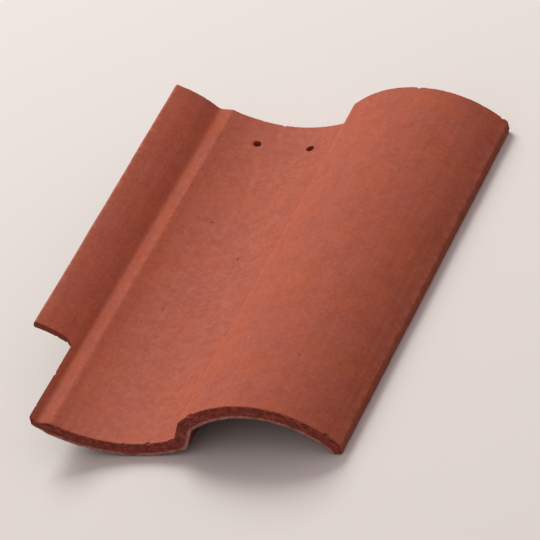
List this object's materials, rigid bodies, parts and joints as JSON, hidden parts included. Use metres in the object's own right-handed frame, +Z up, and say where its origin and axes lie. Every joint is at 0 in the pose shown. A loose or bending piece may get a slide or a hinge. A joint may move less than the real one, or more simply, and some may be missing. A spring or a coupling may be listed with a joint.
{
  "type": "clay roof tile",
  "caption": "One-piece fired clay S tile: a shallow pan, a steep riser, a round roll that laps over the next tile and a thin side lip that the next roll covers.",
  "frame": {"origin": "centre of the footprint, on the floor that the tile lies on", "axes": "+Y runs from the butt to the head along the tile, +X across it towards the roll, +Z up from the floor; unheld, the tile leans 8.5 degrees about Y onto the edge of its roll"},
  "size_m": [0.2456, 0.337, 0.0534],
  "materials": {
    "terracotta": "matt, unglazed, sanded grain"
  },
  "bodies": {
    "root": {"s_tile": "terracotta"}
  },
  "joints": []
}
